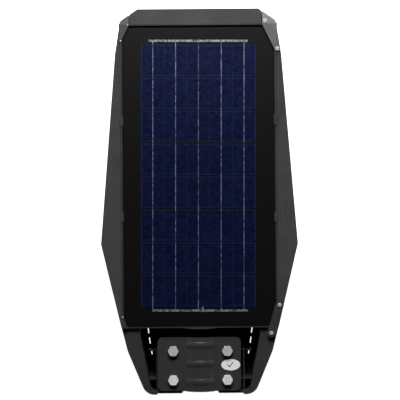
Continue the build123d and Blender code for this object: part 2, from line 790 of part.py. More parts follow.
# ---------------------------------------------------------------- clamp
def pole_saddle():
    """Cradle under the pole: a half-round seat with upright sides."""
    y_span = (-plate_l / 2, plate_l / 2)
    half = bore_r + saddle_wall
    body = rod_along_y(y_span, half) & block((-half, half), y_span, (-half, 0))
    body = body + block((-half, half), y_span, (0, saddle_top_z))
    body = body + block((-half * 0.6, half * 0.6), y_span, (floor_top_z, -half * 0.7))
    channel = rod_along_y(y_span, bore_r) + block((-bore_r, bore_r), y_span, (0, saddle_top_z + 1))
    body = body - channel
    stop_y = (plate_l / 2, plate_l / 2 + stop_t)
    stop = rod_along_y(stop_y, half) & block((-half, half), stop_y, (-half, -bore_r * 0.4))
    return body + stop


def clamp_plate():
    """Stamped plate: a flange with a half tube that swells in three rings."""
    z_span = (flange_z, plate_top_z)
    plate = rounded_plate((plate_shift_x, 0), (2 * plate_half, plate_l), plate_corner_r, *z_span)
    y_span = (-plate_l / 2 - hump_overrun, plate_l / 2)
    above = block((-hump_r - ring_h, hump_r + ring_h), (-plate_l, plate_l), (flange_z, hump_r + ring_h))
    tube = rod_along_y(y_span, hump_r)
    swell_r = (ring_w ** 2 / 4 + ring_h ** 2) / (2 * ring_h)
    for y in rings_y:
        ring = Torus(hump_r + ring_h - swell_r, swell_r)
        tube = tube + Pos(0, y, 0) * Rot(90, 0, 0) * ring
    plate = plate + (tube & above)
    plate = plate - rod_along_y((-plate_l, plate_l), bore_r)
    return plate - [rod(place, flange_z, plate_top_z, bolt_hole_r) for place in bolt_places()]


def inspection_sticker():
    """Blank oval label on the plate's flange."""
    face = Ellipse(*sticker_half)
    return Pos(sticker_centre[0], sticker_centre[1], 0) * upright(face, plate_top_z, plate_top_z + sticker_t)


def clamp_bolt(place):
    """Hexagon bolt with a washer face and a chamfered head and tip."""
    head = hexagon((0, 0), plate_top_z + 0.4, plate_top_z + head_h, head_af)
    corner_r = head_af / 2 / math.cos(math.radians(30))
    dome = Pos(0, 0, plate_top_z + head_h - 10.0) * Cone(
        corner_r + 5.0, corner_r - 0.7, 10.0, align=(Align.CENTER, Align.CENTER, Align.MIN)
    )
    head = head & dome
    washer = rod((0, 0), plate_top_z, plate_top_z + 0.4, head_af / 2 - 0.3)
    shank = rod((0, 0), plate_top_z - bolt_l, plate_top_z, bolt_r)
    shank = chamfer(shank.edges().group_by(Axis.Z)[0], 0.8)
    return Pos(place[0], place[1], 0) * (head + washer + shank)


def clamp_nuts():
    """Nuts held against turning in the hexagonal pockets under the bosses."""
    solids = []
    for place in bolt_places():
        nut = hexagon(place, nut_top_z - nut_h, nut_top_z, head_af)
        solids.append(nut - rod(place, nut_top_z - nut_h - 1, nut_top_z + 1, bolt_r + 0.06))
    return group(solids)


# ---------------------------------------------------------------- fasteners under the housing
def rail_screws():
    """Long screws up through the lower housing into the rails."""
    seat = floor_low_z + screw_counterbore
    length = split_z + 10.0 - seat
    places = rail_screw_places()
    return group([pan_screw(place, seat, screw_head_r, screw_head_h, length, -1) for place in places])


def lens_screws():
    """Short screws round the lens, their heads sunk in it."""
    seat = lens_top_z - lens_t + lens_head_sink
    places = lens_screw_places()
    return group([pan_screw(place, seat, *lens_head, lens_screw_l - 1, -1) for place in places])


# ---------------------------------------------------------------- lamp
def led_board():
    """Aluminium-backed board that carries the LEDs, face down over the window."""
    size = (window_size[0] + 2 * led_board_lap, window_size[1] + 2 * led_board_lap)
    board = rounded_plate((0, lens_y), size, 3.0, led_face_z, led_face_z + led_board_t)
    top = led_face_z + led_board_t
    return board - [rod(place, led_face_z, top, screw_r + screw_clear) for place in led_board_screw_places()]


def led_places():
    """Centres of the LEDs."""
    spots = GridLocations(led_pitch, led_pitch, *led_grid)
    return [(spot.position.X, lens_y + spot.position.Y) for spot in spots]


def led_chips():
    """Surface-mounted LEDs under the board."""
    solids = []
    for x, y in led_places():
        solids.append(Pos(x, y, led_face_z - led_size[2] / 2) * Box(*led_size))
    return group(solids)


def reflector_tray():
    """White tray between the LEDs and the lens, open at each LED."""
    size = (window_size[0] - 2 * tray_clear, window_size[1] - 2 * tray_clear)
    low = led_face_z - tray_depth
    tray = rounded_plate((0, lens_y), size, 3.7, low, led_face_z)
    inner = (size[0] - 4, size[1] - 4)
    tray = tray - rounded_plate((0, lens_y), inner, 2.0, low + tray_t, led_face_z + 1)
    return tray - [rod(place, low - 1, led_face_z, tray_hole_r) for place in led_places()]


def lens_cover():
    """Clear lens plate over the LEDs."""
    low = lens_top_z - lens_t
    cover = rounded_plate((0, lens_y), lens_size, lens_corner_r, low, lens_top_z)
    cover = chamfer(cover.edges().group_by(Axis.Z)[0], 0.8)
    cuts = []
    for place in lens_screw_places():
        cuts.append(rod(place, low, lens_top_z, screw_r + screw_clear))
        cuts.append(rod(place, low, low + lens_head_sink, lens_head[0] + screw_clear))
    return cover - cuts


def lens_gasket():
    """Silicone seal under the lens, outside the window."""
    z_span = (lens_top_z, floor_low_z)
    gasket_gap = lens_screw_inset + 3.0
    outer = (lens_size[0] - 2 * gasket_gap, lens_size[1] - 2 * gasket_gap)
    inner = (outer[0] - 2 * lens_gasket_w, outer[1] - 2 * lens_gasket_w)
    ring = rounded_plate((0, lens_y), outer, 6.0, *z_span)
    return ring - rounded_plate((0, lens_y), inner, 3.0, *z_span)


def led_board_screws():
    """Pan-head screws through the LED board into the floor."""
    seat = led_face_z + led_board_t
    places = led_board_screw_places()
    return group([pan_screw(place, seat, *board_head, led_board_t + 1.5, 1) for place in places])


# ---------------------------------------------------------------- sensor and controls
def pir_dome():
    """Motion sensor's lens: a hollow dome with a flange, in its well."""
    top = floor_low_z + well_depth
    flange = rod(pir_xy, top - pir_flange_t, top, pir_flange_r)
    centre = Pos(pir_xy[0], pir_xy[1], top)
    below = rod(pir_xy, top - pir_r - 1, top, pir_r + 1)
    dome = (centre * Sphere(pir_r)) & below
    hollow = (centre * Sphere(pir_r - 1.0)) & below
    return (flange + dome) - hollow


def pir_sensor():
    """Round metal-can sensor inside the dome."""
    top = floor_low_z + well_depth
    return rod(pir_xy, top - 0.4, top, 4.9) + rod(pir_xy, top - 4.4, top - 0.4, 4.2)


def switch_body():
    """Panel switch: bezel under the floor, threaded bushing and square case above it."""
    bezel_low = floor_low_z - bezel_t
    body = rod(switch_xy, bezel_low, floor_low_z, bezel_r)
    body = body + rod(switch_xy, floor_low_z, floor_top_z + 7, bushing_r)
    x, y = switch_xy
    body = body + block((x - 6.5, x + 6.5), (y - 6.5, y + 6.5), (floor_top_z + 7, board_z - 4))
    room_top = bezel_low - button_out + button_l + button_travel + 0.3
    return body - rod(switch_xy, bezel_low - 1, room_top, button_r + button_clear)


def switch_nut():
    """Nut on the switch's bushing, inside the housing."""
    nut = hexagon(switch_xy, floor_top_z, floor_top_z + 3, 17.0)
    return nut - rod(switch_xy, floor_top_z - 1, floor_top_z + 4, bushing_r + 0.06)


def button_cap():
    """Push button with a domed end."""
    low = floor_low_z - bezel_t - button_out
    cap = rod(switch_xy, low, low + button_l, button_r)
    return fillet(cap.edges().group_by(Axis.Z)[0], 1.2)


def indicator_lens():
    """Small light pipe that shows the charge state."""
    flange = rod(indicator_xy, floor_low_z - 1.0, floor_low_z, indicator_r + 1.0)
    return flange + rod(indicator_xy, floor_low_z, floor_top_z + 3, indicator_r)


def vent_plug():
    """Breather plug that keeps rain out."""
    flange = rod(vent_xy, floor_low_z - 1.2, floor_low_z, vent_r + 2.0)
    return flange + rod(vent_xy, floor_low_z, floor_top_z + 4, vent_r)


# ---------------------------------------------------------------- battery and controller
def battery_axes():
    """Y and Z of the two rows of cells."""
    z = floor_top_z + cradle_base + battery_d / 2 + battery_clear
    half = battery_d / 2 + battery_clear + 0.5
    return [(battery_y - half, z), (battery_y + half, z)]


def rod_along_x(x_span, radius, y, z):
    """Cylinder along X."""
    turned = Rot(0, 90, 0) * Cylinder(radius, x_span[1] - x_span[0])
    return Pos((x_span[0] + x_span[1]) / 2, y, z) * turned


def battery_cells():
    """Four lithium iron phosphate cells, two rows of two."""
    solids = []
    for y, z in battery_axes():
        for x_span in ((-battery_l - 0.5, -0.5), (0.5, battery_l + 0.5)):
            solids.append(rod_along_x(x_span, battery_d / 2, y, z))
    return group(solids)


def battery_cradle():
    """Moulded cradle with two troughs, end walls and screw ears."""
    half_x = battery_l + 0.5 + battery_clear + cradle_wall
    half_y = battery_d + 2 * battery_clear + cradle_wall
    y_span = (battery_y - half_y, battery_y + half_y)
    body = block((-half_x, half_x), y_span, (floor_top_z, floor_top_z + cradle_h))
    trough_x = (-half_x + cradle_wall, half_x - cradle_wall)
    body = body - [rod_along_x(trough_x, battery_d / 2 + battery_clear, y, z) for y, z in battery_axes()]
    for x, y in battery_screw_places():
        ear = block(sorted((x * 0.9, x)), (y - ear_r, y + ear_r), (floor_top_z, floor_top_z + ear_t))
        body = body + ear + rod((x, y), floor_top_z, floor_top_z + ear_t, ear_r)
    places = battery_screw_places()
    cuts = [rod(place, floor_top_z, floor_top_z + ear_t, screw_r + screw_clear) for place in places]
    return body - cuts


def battery_screws():
    """Screws through the cradle's ears."""
    places = battery_screw_places()
    return group([pan_screw(place, floor_top_z + ear_t, *board_head, 3.5, 1) for place in places])


def battery_straps():
    """Two bands over the cells, hooked on the cradle's sides."""
    half_y = battery_d + 2 * battery_clear + cradle_wall
    low = floor_top_z + cradle_h - 6
    high = battery_axes()[0][1] + battery_d / 2
    solids = []
    for x in (-strap_x, strap_x):
        x_span = (x - strap_w / 2, x + strap_w / 2)
        outer_y = (battery_y - half_y - strap_t, battery_y + half_y + strap_t)
        outer = block(x_span, outer_y, (low, high + strap_t))
        inner = block(x_span, (battery_y - half_y, battery_y + half_y), (low - 1, high))
        solids.append(outer - inner)
    return group(solids)


def controller_board():
    """Charge controller's circuit board on its four posts."""
    board = block(
        (-board_size[0] / 2, board_size[0] / 2),
        (board_y - board_size[1] / 2, board_y + board_size[1] / 2),
        (board_z, board_z + board_size[2]),
    )
    places = board_screw_places()
    return board - [rod(place, board_z, board_z + board_size[2], screw_r + screw_clear) for place in places]


def controller_parts():
    """The taller components on the board: coil, capacitors, connectors and chip."""
    top = board_z + board_size[2]
    solids = [
        rod((-30, board_y + 4), top, top + 9, 7.0),
        rod((-10, board_y + 6), top, top + 12, 4.0),
        rod((0, board_y + 6), top, top + 12, 4.0),
        block((12, 24), (board_y, board_y + 10), (top, top + 1.8)),
        block((40, 48), (board_y + 2, board_y + 14), (top, top + 7)),
        block((28, 38), (board_y - 14, board_y - 6), (top, top + 7)),
        block((-46, -38), (board_y - 14, board_y - 4), (top, top + 7)),
    ]
    return group(solids)


def board_screws():
    """Screws that hold the controller board."""
    seat = board_z + board_size[2]
    places = board_screw_places()
    return group([pan_screw(place, seat, *board_head, 7.0, 1) for place in places])


def lead(points):
    """Round lead along straight runs joined by arcs."""
    path = FilletPolyline(*points, radius=lead_bend_r)
    start = path.edges()[0]
    profile = Plane(origin=start @ 0, z_dir=start % 0) * Circle(lead_r)
    return sweep(profile, path=path)


def panel_lead():
    """Leads from the junction box down to the controller."""
    top = board_z + board_size[2] + 7
    high = backsheet_low_z - junction_size[2] / 2
    solids = []
    for y in (-11.0, -8.0):
        route = [
            (junction_size[0] / 2, board_y + y, high),
            (junction_size[0] / 2 + 14, board_y + y, high),
            (junction_size[0] / 2 + 14, board_y + y, top - 4),
            (38.0, board_y + y, top - 4),
        ]
        solids.append(lead(route))
    return group(solids)


def battery_lead():
    """Leads from the cells to the controller."""
    top = board_z + board_size[2] + 3
    cell_y, cell_z = battery_axes()[0]
    solids = []
    for x in (44.0, 47.0):
        route = [
            (x, cell_y, cell_z + battery_d / 2 + lead_r),
            (x, board_y + 24, cell_z + battery_d / 2 + lead_r),
            (x, board_y + 24, top),
            (x, board_y + 14, top),
        ]
        solids.append(lead(route))
    return group(solids)


# ---------------------------------------------------------------- every node of the lamp
def all_parts():
    """Node names and their solids."""
    parts = {
        "lower_housing": lower_housing(),
        "side_rail_left": side_rail(-1),
        "side_rail_right": side_rail(1),
        "front_cap": front_cap(),
        "corner_front_left": front_corner_piece(-1, cut_front_left),
        "corner_front_right": front_corner_piece(1, cut_front_right),
        "corner_rear_left": corner_rear_left(),
        "corner_rear_right": corner_rear_right(),
        "corner_screws": corner_screws(),
        "corner_rivets": corner_rivets(),
        "rail_screws": rail_screws(),
        "panel_carrier": panel_carrier(),
        "carrier_screws": carrier_screws(),
        "panel_gasket": panel_gasket(),
        "panel_backsheet": panel_layer(backsheet_low_z, cell_low_z),
        "solar_cells": solar_cells(),
        "cell_ribbons": cell_ribbons(),
        "bus_ribbons": bus_ribbons(),
        "panel_glass": panel_glass(),
        "panel_junction_box": panel_junction_box(),
        "pole_saddle": pole_saddle(),
        "clamp_plate": clamp_plate(),
        "inspection_sticker": inspection_sticker(),
        "clamp_nuts": clamp_nuts(),
        "led_board": led_board(),
        "led_chips": led_chips(),
        "led_board_screws": led_board_screws(),
        "reflector_tray": reflector_tray(),
        "lens_cover": lens_cover(),
        "lens_gasket": lens_gasket(),
        "lens_screws": lens_screws(),
        "pir_dome": pir_dome(),
        "pir_sensor": pir_sensor(),
        "switch_body": switch_body(),
        "switch_nut": switch_nut(),
        "button_cap": button_cap(),
        "indicator_lens": indicator_lens(),
        "vent_plug": vent_plug(),
        "battery_cells": battery_cells(),
        "battery_cradle": battery_cradle(),
        "battery_straps": battery_straps(),
        "battery_screws": battery_screws(),
        "controller_board": controller_board(),
        "controller_parts": controller_parts(),
        "board_screws": board_screws(),
        "panel_lead": panel_lead(),
        "battery_lead": battery_lead(),
    }
    for index, place in enumerate(bolt_places(), start=1):
        parts[f"clamp_bolt_{index}"] = clamp_bolt(place)
    return parts


os.makedirs("parts", exist_ok=True)
for node, shape in all_parts().items():
    export_step(shape, f"parts/{node}.step")
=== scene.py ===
"""Solar street lamp head: its looks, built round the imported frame."""
import json
import math

import bpy
from bpy.props import FloatProperty, FloatVectorProperty, PointerProperty, StringProperty
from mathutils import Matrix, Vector


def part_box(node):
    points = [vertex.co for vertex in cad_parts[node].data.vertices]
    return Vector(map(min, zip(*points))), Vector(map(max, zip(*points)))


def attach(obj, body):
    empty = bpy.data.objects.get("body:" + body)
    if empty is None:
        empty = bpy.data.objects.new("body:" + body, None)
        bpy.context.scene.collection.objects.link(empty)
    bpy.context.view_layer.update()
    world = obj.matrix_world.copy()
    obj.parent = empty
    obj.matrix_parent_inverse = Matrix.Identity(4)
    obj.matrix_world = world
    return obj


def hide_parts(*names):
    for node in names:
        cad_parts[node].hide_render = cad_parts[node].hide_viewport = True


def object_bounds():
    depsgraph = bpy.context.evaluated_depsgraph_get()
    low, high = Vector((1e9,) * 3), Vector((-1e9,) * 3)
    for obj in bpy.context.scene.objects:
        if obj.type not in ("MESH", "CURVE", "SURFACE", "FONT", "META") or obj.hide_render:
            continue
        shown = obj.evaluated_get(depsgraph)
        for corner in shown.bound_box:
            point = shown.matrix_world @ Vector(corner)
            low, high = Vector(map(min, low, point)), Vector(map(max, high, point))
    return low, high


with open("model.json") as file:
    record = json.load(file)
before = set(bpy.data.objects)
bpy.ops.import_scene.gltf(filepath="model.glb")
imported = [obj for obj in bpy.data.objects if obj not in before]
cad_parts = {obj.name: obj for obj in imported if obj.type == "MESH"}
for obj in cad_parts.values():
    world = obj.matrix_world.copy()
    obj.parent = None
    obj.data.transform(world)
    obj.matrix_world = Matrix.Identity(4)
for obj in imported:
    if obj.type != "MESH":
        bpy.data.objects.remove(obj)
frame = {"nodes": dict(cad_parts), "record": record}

cad_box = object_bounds()
nodes = frame["nodes"]
bodies = frame["record"]["behaviour"]["bodies"]
body_of_node = {node: body for body, members in bodies.items() for node in members}
slot_of_node = {entry["node"]: entry["material_slot"] for entry in frame["record"]["subparts"]}

MM = 0.001

bl_info = {
    "name": "Solar street lamp",
    "version": (1, 0, 0),
    "blender": (4, 5, 0),
    "location": "View3D > Sidebar > Lamp",
    "description": "Builds the visible pieces and finishes of a solar street lamp head",
    "category": "Object",
}


# ---------------------------------------------------------------- sizes, colours and stage
class LampSizes(bpy.types.PropertyGroup):
    """Sizes that a user may change."""

    moulding_edge: FloatProperty(
        name="Moulding edge", description="Rounding of the mouldings' edges", default=0.5 * MM, unit="LENGTH"
    )
    plate_edge: FloatProperty(
        name="Plate edge", description="Rounding of the clamp plate's edges", default=0.5 * MM, unit="LENGTH"
    )
    bolt_edge: FloatProperty(
        name="Bolt edge", description="Rounding of the bolt heads' edges", default=0.3 * MM, unit="LENGTH"
    )
    cup_mouth: FloatProperty(
        name="Cup mouth", description="Radius of a reflector cup at the lens", default=8.2 * MM, unit="LENGTH"
    )
    cup_foot: FloatProperty(
        name="Cup foot", description="Radius of a reflector cup at its LED", default=4.3 * MM, unit="LENGTH"
    )
    tick_width: FloatProperty(
        name="Tick width", description="Stroke of the mark on the label", default=1.5 * MM, unit="LENGTH"
    )


class LampColours(bpy.types.PropertyGroup):
    """Colours that a user may change, as sRGB hex."""

    abs_body: StringProperty(name="Body ABS", description="Moulded black ABS of the tub", default="#2c2c2c")
    abs_facets: StringProperty(name="Facet ABS", description="ABS of the sloping rails", default="#2f2f2f")
    abs_cap: StringProperty(name="Cap ABS", description="ABS across the front end", default="#232323")
    # The front corners are the same black ABS as the tub; their lighter colours are painted sheen, and the
    # right one is lighter still for the light that falls on it.
    abs_corner_left_painted_sheen: StringProperty(
        name="Left corner", description="ABS of the front left corner", default="#3c3c3c"
    )
    abs_corner_right_painted_sheen: StringProperty(
        name="Right corner", description="ABS of the front right corner", default="#5a5a5a"
    )
    cell_dark: StringProperty(name="Cell dark", description="Darkest grains of a cell", default="#0e1436")
    cell_light: StringProperty(name="Cell light", description="Lightest grains of a cell", default="#15234f")
    cell_violet: StringProperty(name="Cell violet", description="Violet grains of a cell", default="#1d1640")
    cell_rim: StringProperty(name="Cell rim", description="Paler edge of a cell", default="#26488c")
    backsheet: StringProperty(name="Backsheet", description="Black film behind the cells", default="#141414")
    coated_steel: StringProperty(name="Steel coat", description="Coat of the clamp plate", default="#303030")
    zinc: StringProperty(name="Zinc", description="Plate of the rear bolts and the nuts", default="#e2e2e2")
    dull_zinc: StringProperty(name="Dull zinc", description="Plate of the front bolts", default="#bcbcbc")
    screw_zinc: StringProperty(name="Screw zinc", description="Plate of the small screws", default="#b0b0b0")
    ribbon_tin: StringProperty(name="Ribbon tin", description="Tinned copper ribbon", default="#a4a8d2")
    bus_tin: StringProperty(name="Bus tin", description="Thicker tin on the bus ribbons", default="#c0c3d4")
    floor: StringProperty(name="Floor", description="Pale studio floor", default="#fcfcfc")


class LampStage(bpy.types.PropertyGroup):
    """Camera and lights."""

    camera_place: FloatVectorProperty(
        name="Camera", description="Place of the camera", default=(1.2 * MM, 224.2 * MM, 2028.6 * MM),
        subtype="TRANSLATION",
    )
    camera_roll: FloatProperty(
        name="Roll", description="Turn of the camera about its own axis", default=math.radians(-0.44),
        unit="ROTATION",
    )
    camera_lens: FloatProperty(name="Lens", description="Focal length in millimetres", default=132.2)
    room_light: FloatProperty(name="Room", description="Strength of the room's own light", default=0.28)
    key_power: FloatProperty(name="Key light", description="Watts of the light in front", default=18.0)
    top_power: FloatProperty(name="Top light", description="Watts of the overhead light", default=24.0)
    side_power: FloatProperty(name="Side lights", description="Watts of each side light", default=0.8)


def settings(name):
    """One of the scene's three groups of settings: sizes, colours or stage."""
    return getattr(bpy.context.scene, "lamp_" + name)


# ---------------------------------------------------------------- small helpers
def linear(hex_text, factor=1.0):
    """Linear RGBA of an sRGB hex colour, made lighter or darker by a factor."""
    channels = [int(hex_text[i:i + 2], 16) / 255 for i in (1, 3, 5)]
    return [factor * (c / 12.92 if c <= 0.04045 else ((c + 0.055) / 1.055) ** 2.4) for c in channels] + [1.0]


def add_node(tree, kind, inputs=None, stops=(), **attributes):
    """Adds one shader node. An input is a value, a socket, or a node whose first output feeds it."""
    node = tree.nodes.new(kind)
    for key, value in attributes.items():
        setattr(node, key, value)
    for key, value in (inputs or {}).items():
        if isinstance(value, bpy.types.Node):
            value = value.outputs[0]
        if isinstance(value, bpy.types.NodeSocket):
            tree.links.new(value, node.inputs[key])
        else:
            node.inputs[key].default_value = value
    for index, (position, colour) in enumerate(stops):
        elements = node.color_ramp.elements
        element = elements[index] if index < 2 else elements.new(position)
        element.position = position
        element.color = colour
    return node


def new_material(name, links, **values):
    """A procedural material. links makes the nodes and says which node or socket feeds what on the shader."""
    material = bpy.data.materials.new(name)
    material.use_nodes = True
    tree = material.node_tree
    shader = tree.nodes["Principled BSDF"]
    for key, value in values.items():
        shader.inputs[key.replace("_", " ")].default_value = value
    place = add_node(tree, "ShaderNodeTexCoord").outputs["Object"]
    for key, feed in links(tree, place).items():
        socket = feed.outputs[0] if isinstance(feed, bpy.types.Node) else feed
        tree.links.new(socket, shader.inputs[key])
    return material


def dress(material, *names):
    """Gives carried-over CAD nodes their material."""
    for name in names:
        nodes[name].data.materials.clear()
        nodes[name].data.materials.append(material)


def deselect():
    """Nothing is in edit mode and nothing is selected."""
    if bpy.context.object and bpy.context.object.mode != "OBJECT":
        bpy.ops.object.mode_set(mode="OBJECT")
    bpy.ops.object.select_all(action="DESELECT")


def make_active(*pieces):
    """Selects these pieces alone, with the first one active."""
    deselect()
    for piece in pieces:
        piece.select_set(True)
    bpy.context.view_layer.objects.active = pieces[0]


def apply_modifier(piece, kind, **values):
    """Adds a modifier with its settings and applies it."""
    make_active(piece)
    modifier = piece.modifiers.new(kind.title(), kind)
    for key, value in values.items():
        setattr(modifier, key, value)
    bpy.ops.object.modifier_apply(modifier=modifier.name)


def finish_piece(piece, name, material, body, slot_name, *replaced):
    """Settles a new piece at the origin, names it, ties it to its body and hides the CAD nodes it stands for.
    """
    make_active(piece)
    bpy.ops.object.transform_apply(location=True, rotation=True, scale=True)
    piece.name = name
    piece.data.name = name
    piece.data.materials.clear()
    piece.data.materials.append(material)
    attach(piece, body)
    if replaced:
        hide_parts(*replaced)
    return piece


def softened(node, material, width, angle=35.0):
    """A copy of a CAD node, its triangles merged and its edges rounded, which stands for that node.

    Edges that turn by more than the angle, in degrees, are rounded.
    """
    piece = nodes[node].copy()
    piece.data = nodes[node].data.copy()
    for key in [key for key in piece.keys() if key.startswith("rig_")]:
        del piece[key]
    piece.parent = None
    bpy.context.scene.collection.objects.link(piece)
    make_active(piece)
    bpy.ops.object.mode_set(mode="EDIT")
    bpy.ops.mesh.select_all(action="SELECT")
    bpy.ops.mesh.remove_doubles(threshold=0.002 * MM)
    bpy.ops.mesh.customdata_custom_splitnormals_clear()
    bpy.ops.mesh.mark_sharp(clear=True)
    bpy.ops.mesh.dissolve_limited(angle_limit=math.radians(0.5))
    bpy.ops.object.mode_set(mode="OBJECT")
    apply_modifier(
        piece, "BEVEL", width=width, segments=2, limit_method="ANGLE",
        angle_limit=math.radians(angle), use_clamp_overlap=True,
    )
    bpy.ops.object.shade_smooth_by_angle(angle=math.radians(40.0))
    apply_modifier(piece, "WEIGHTED_NORMAL", keep_sharp=True, weight=100)
    return finish_piece(piece, node + "_skin", material, body_of_node[node], slot_of_node[node], node)


# ---------------------------------------------------------------- finishes
def moulded_abs(name, hex_text, rough, flow=0.0):
    """Injection-moulded ABS with a fine spark texture: a broad soft sheen that never mirrors."""
    def links(tree, place):
        # Spark grit is about 0.1 mm; it is drawn at 1.3 mm, which is as fine as the view can show.
        grit = add_node(tree, "ShaderNodeTexNoise", {"Vector": place, "Scale": 1 / (1.3 * MM), "Detail": 2.0})
        cloud = add_node(tree, "ShaderNodeTexNoise", {"Vector": place, "Scale": 1 / (40 * MM), "Detail": 3.0})
        # Flow lines are 3 mm apart and drawn out along the lamp.
        drawn = add_node(tree, "ShaderNodeMapping", {"Vector": place, "Scale": (1.0, 0.07, 1.0)})
        lines = add_node(
            tree, "ShaderNodeTexNoise",
            {"Vector": drawn, "Scale": 1 / (3 * MM), "Detail": 4.0, "Roughness": 0.7},
        )
        share = add_node(tree, "ShaderNodeMath", {0: lines, 1: flow, 2: cloud}, operation="MULTIPLY_ADD")
        middle = 0.5 + flow / 2
        tone = add_node(
            tree, "ShaderNodeValToRGB", {"Fac": share},
            [(middle - 0.2, linear(hex_text, 0.8)), (middle + 0.2, linear(hex_text, 1.2))],
        )
        gloss = add_node(
            tree, "ShaderNodeMapRange", {"Value": grit, "To Min": rough - 0.06, "To Max": rough + 0.08}
        )
        height = add_node(tree, "ShaderNodeMath", {0: lines, 1: 2 * flow, 2: grit}, operation="MULTIPLY_ADD")
        normal = add_node(tree, "ShaderNodeBump", {"Height": height, "Distance": 0.04 * MM, "Strength": 0.5})
        return {"Base Color": tone, "Roughness": gloss, "Normal": normal}
    return new_material(name, links, IOR=1.5, Specular_IOR_Level=0.22)


def powder_coat(name, hex_text):
    """Powder-coated steel: satin black with a faint orange-peel ripple and fine pale specks."""
    def links(tree, place):
        peel = add_node(tree, "ShaderNodeTexNoise", {"Vector": place, "Scale": 1 / (2.2 * MM), "Detail": 2.0})
        dust = add_node(tree, "ShaderNodeTexNoise", {"Vector": place, "Scale": 1 / (1.2 * MM), "Detail": 1.0})
        tone = add_node(
            tree, "ShaderNodeValToRGB", {"Fac": dust},
            [(0.35, linear(hex_text, 0.85)), (0.7, linear(hex_text, 1.25))],
        )
        gloss = add_node(tree, "ShaderNodeMapRange", {"Value": peel, "To Min": 0.3, "To Max": 0.4})
        normal = add_node(tree, "ShaderNodeBump", {"Height": peel, "Distance": 0.06 * MM, "Strength": 0.4})
        return {"Base Color": tone, "Roughness": gloss, "Normal": normal}
    return new_material(name, links, IOR=1.5, Specular_IOR_Level=0.4)


def zinc_plate(name, hex_text):
    """Zinc plate with a clear passivate over cold-formed steel: pale and half matt, with darker specks."""
    def links(tree, place):
        streak = add_node(
            tree, "ShaderNodeTexNoise", {"Vector": place, "Scale": 1 / (1.8 * MM), "Detail": 3.0}
        )
        speck = add_node(tree, "ShaderNodeTexVoronoi", {"Vector": place, "Scale": 1 / (2.4 * MM)})
        share = add_node(tree, "ShaderNodeMath", {0: speck, 1: streak}, operation="MULTIPLY")
        tone = add_node(
            tree, "ShaderNodeValToRGB", {"Fac": share},
            [(0.05, linear(hex_text, 0.55)), (0.22, linear(hex_text))],
        )
        gloss = add_node(tree, "ShaderNodeMapRange", {"Value": streak, "To Min": 0.35, "To Max": 0.55})
        normal = add_node(tree, "ShaderNodeBump", {"Height": streak, "Distance": 0.1 * MM, "Strength": 0.5})
        return {"Base Color": tone, "Roughness": gloss, "Normal": normal}
    return new_material(name, links, Metallic=0.15)


def solar_glass(name):
    """Low-iron tempered glass: almost invisible from above, with a soft sheen at a slant."""
    def links(tree, place):
        # The rolled pattern is about 0.5 mm; it is drawn at 1.5 mm so that it shows.
        grain = add_node(
            tree, "ShaderNodeTexNoise", {"Vector": place, "Scale": 1 / (1.5 * MM), "Detail": 2.0}
        )
        gloss = add_node(tree, "ShaderNodeMapRange", {"Value": grain, "To Min": 0.22, "To Max": 0.32})
        normal = add_node(tree, "ShaderNodeBump", {"Height": grain, "Distance": 0.01 * MM, "Strength": 0.3})
        # Facing the eye the glass is clear; at a slant it turns into a sheen.
        slant = add_node(tree, "ShaderNodeLayerWeight", {"Blend": 0.35})
        veil = add_node(
            tree, "ShaderNodeMapRange", {"Value": slant.outputs["Fresnel"], "To Min": 0.03, "To Max": 0.6}
        )
        return {"Alpha": veil, "Roughness": gloss, "Normal": normal}
    return new_material(name, links, Base_Color=linear("#060608"), IOR=1.5)


